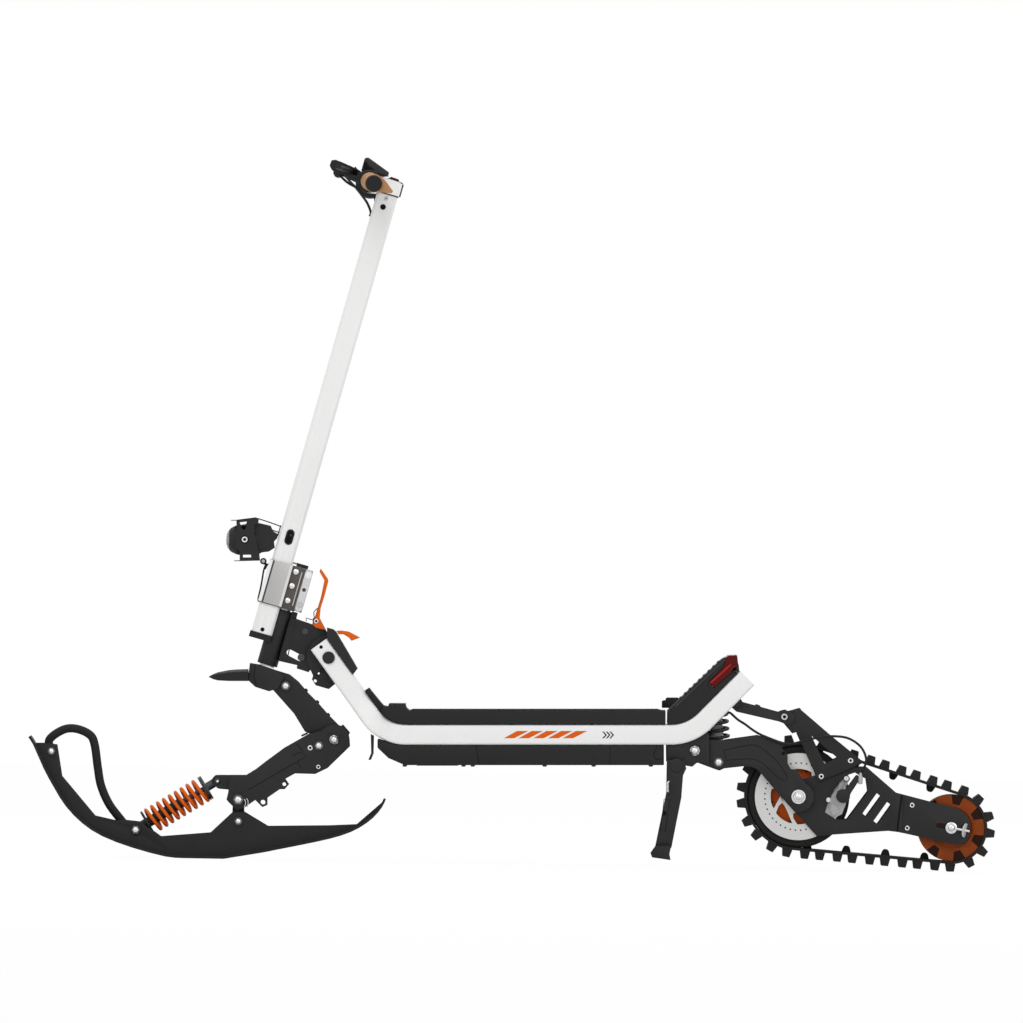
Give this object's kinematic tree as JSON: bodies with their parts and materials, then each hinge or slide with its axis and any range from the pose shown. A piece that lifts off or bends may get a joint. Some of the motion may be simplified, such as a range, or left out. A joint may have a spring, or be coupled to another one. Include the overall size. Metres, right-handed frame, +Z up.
{
  "type": "snow_scooter",
  "caption": "Electric folding snow scooter with a sprung front ski, a rubber-track rear drive, a low deck and a tall stem with a T handlebar.",
  "frame": {"origin": "On the floor under the middle of the scooter's bounding box, between the ski and the track.", "axes": "+X points to the rear (the track), +Y to the rider's right, +Z up."},
  "size_m": [1.7795, 0.62, 1.2936],
  "materials": {
    "white_paint": "satin",
    "black_paint": "satin",
    "orange_paint": "satin",
    "black_plastic": "matte",
    "black_rubber": "matte",
    "tan_rubber": "matte",
    "orange_hub": "satin",
    "rust_wheel": "satin",
    "silver": "satin",
    "bright_steel": "polished",
    "red_lens": "gloss",
    "clear_lens": "gloss"
  },
  "bodies": {
    "deck": {"deck_frame": "white_paint", "deck_pan": "black_plastic", "battery_case": "black_plastic", "battery_pack": "black_plastic", "motor_controller": "silver", "fold_pivot_bolt": "black_paint", "rear_footrest": "black_plastic", "tail_light": "red_lens", "rear_bracket": "black_paint", "swingarm_pin": "bright_steel", "brake_cable": "black_rubber"},
    "latch": {"latch_bar": "black_paint", "latch_tab": "orange_paint"},
    "stand": {"kickstand": "black_paint"},
    "front": {"fold_bracket": "black_paint", "head_tube": "black_paint", "headset_bearing_lower": "bright_steel", "headset_bearing_upper": "bright_steel"},
    "fold_handle": {"fold_lever": "orange_paint"},
    "steer": {"stem": "white_paint", "steerer_tube": "silver", "stem_collar": "silver", "handlebar_clamp": "white_paint", "display": "black_plastic", "handlebar": "black_paint", "grip_left": "tan_rubber", "grip_right": "tan_rubber", "brake_perch_left": "black_paint", "brake_perch_right": "black_paint", "headlight_bracket": "black_paint", "fork": "black_paint", "knee_bolt": "bright_steel", "front_fender": "black_plastic"},
    "lamp": {"headlight_housing": "black_plastic", "headlight_lens": "clear_lens"},
    "left_brake": {"brake_lever_left": "black_paint"},
    "right_brake": {"brake_lever_right": "black_paint"},
    "throttle": {"throttle_lever": "black_plastic"},
    "button": {"power_button": "red_lens"},
    "arm": {"ski_arm": "black_paint"},
    "ski": {"ski_blade": "black_plastic", "ski_saddle": "black_plastic", "ski_handle": "black_plastic"},
    "damper": {"shock_body": "black_paint", "shock_spring": "orange_paint"},
    "rod": {"shock_rod": "bright_steel"},
    "swing": {"swingarm": "black_paint", "rear_shock_spring": "black_paint"},
    "track": {"track_plate_left": "black_paint", "track_plate_right": "black_paint", "drive_axle": "bright_steel", "idler_axle": "bright_steel", "track_belt": "black_rubber", "brake_caliper": "silver"},
    "drive": {"drive_wheel": "black_rubber", "hub_motor": "orange_hub", "brake_disc": "silver"},
    "idler": {"idler_wheel": "rust_wheel"},
    "brake_arm": {"caliper_arm": "black_paint"},
    "link": {"upper_link": "black_paint"}
  },
  "joints": [
    {"name": "stem_fold", "type": "hinge", "parent": "deck", "child": "front", "pos_m": [-0.34022, 0, 0.37296], "axis": [0, 1, 0], "range_deg": [0, 80]},
    {"name": "fold_lever", "type": "hinge", "parent": "front", "child": "fold_handle", "pos_m": [-0.3644, 0, 0.43955], "axis": [0, 1, 0], "range_deg": [0, 35], "stiffness_Nm_per_rad": 4, "springref_deg": -17.19},
    {"name": "latch_release", "type": "hinge", "parent": "deck", "child": "latch", "pos_m": [-0.29899, 0, 0.36069], "axis": [0, 1, 0], "range_deg": [0, 7]},
    {"name": "kickstand", "type": "hinge", "parent": "deck", "child": "stand", "pos_m": [0.30219, 0, 0.18633], "axis": [0, -1, 0], "range_deg": [0, 100]},
    {"name": "steering", "type": "hinge", "parent": "front", "child": "steer", "pos_m": [-0.44127, 0, 0.40318], "axis": [0.2585, 0, 0.966], "range_deg": [-40, 40]},
    {"name": "headlight_tilt", "type": "hinge", "parent": "steer", "child": "lamp", "pos_m": [-0.49862, 0, 0.58727], "axis": [0, -1, 0], "range_deg": [0, 10]},
    {"name": "brake_lever_left", "type": "hinge", "parent": "steer", "child": "left_brake", "pos_m": [-0.31397, -0.128, 1.26559], "axis": [0.2585, 0, 0.966], "range_deg": [0, 14], "stiffness_Nm_per_rad": 2, "springref_deg": -17.19},
    {"name": "brake_lever_right", "type": "hinge", "parent": "steer", "child": "right_brake", "pos_m": [-0.31397, 0.128, 1.26559], "axis": [-0.2585, 0, -0.966], "range_deg": [0, 14], "stiffness_Nm_per_rad": 2, "springref_deg": -17.19},
    {"name": "throttle", "type": "hinge", "parent": "steer", "child": "throttle", "pos_m": [-0.28029, 0, 1.24829], "axis": [0, 1, 0], "range_deg": [0, 30], "stiffness_Nm_per_rad": 1, "springref_deg": -22.92},
    {"name": "power_button", "type": "slide", "parent": "steer", "child": "button", "axis": [-0.2585, 0, -0.966], "range_m": [0, 0.0015], "stiffness_N_per_m": 800, "springref_m": -0.002},
    {"name": "front_suspension", "type": "hinge", "parent": "steer", "child": "arm", "pos_m": [-0.32754, 0, 0.22217], "axis": [0, 1, 0], "range_deg": [0, 5], "stiffness_Nm_per_rad": 300, "springref_deg": -8.59},
    {"name": "ski_pitch", "type": "hinge", "parent": "arm", "child": "ski", "pos_m": [-0.50195, 0, 0.10846], "axis": [0, 1, 0], "range_deg": [-6, 10], "stiffness_Nm_per_rad": 400, "deforming": ["shock_spring"]},
    {"name": "shock_rod", "type": "hinge", "parent": "arm", "child": "rod", "pos_m": [-0.54116, 0, 0.14237], "axis": [0, 1, 0], "range_deg": [-6.6, 10.9]},
    {"name": "shock_body", "type": "hinge", "parent": "ski", "child": "damper", "pos_m": [-0.68954, 0, 0.04972], "axis": [0, 1, 0], "range_deg": [-0.6, 0.9]},
    {"name": "rear_suspension", "type": "hinge", "parent": "deck", "child": "swing", "pos_m": [0.3353, 0, 0.21442], "axis": [0, -1, 0], "range_deg": [0, 8], "stiffness_Nm_per_rad": 400, "springref_deg": -8.59, "deforming": ["rear_shock_spring", "brake_cable"]},
    {"name": "track_pitch", "type": "hinge", "parent": "swing", "child": "track", "pos_m": [0.52737, 0, 0.13311], "axis": [0, -1, 0], "range_deg": [-6.5, 0]},
    {"name": "upper_link", "type": "hinge", "parent": "deck", "child": "link", "pos_m": [0.40932, 0, 0.30444], "axis": [0, -1, 0], "range_deg": [0, 17]},
    {"name": "drive_spin", "type": "hinge", "parent": "track", "child": "drive", "pos_m": [0.52737, 0, 0.13311], "axis": [0, 1, 0], "continuous": true},
    {"name": "idler_spin", "type": "hinge", "parent": "track", "child": "idler", "pos_m": [0.80935, 0, 0.0805], "axis": [0, 1, 0], "continuous": true},
    {"name": "caliper_arm", "type": "hinge", "parent": "track", "child": "brake_arm", "pos_m": [0.60914, 0, 0.13576], "axis": [0, 1, 0], "range_deg": [0, 15]}
  ],
  "couplings": [
    {"joint": "latch_release", "follows": "fold_lever", "ratio": 0.2},
    {"joint": "shock_rod", "follows": "ski_pitch", "ratio": 1.087},
    {"joint": "shock_body", "follows": "ski_pitch", "ratio": 0.087},
    {"joint": "track_pitch", "follows": "rear_suspension", "ratio": -0.802},
    {"joint": "upper_link", "follows": "rear_suspension", "ratio": 2.083},
    {"joint": "idler_spin", "follows": "drive_spin", "ratio": 1.508},
    {"joint": "caliper_arm", "follows": "brake_lever_left", "ratio": 1}
  ]
}
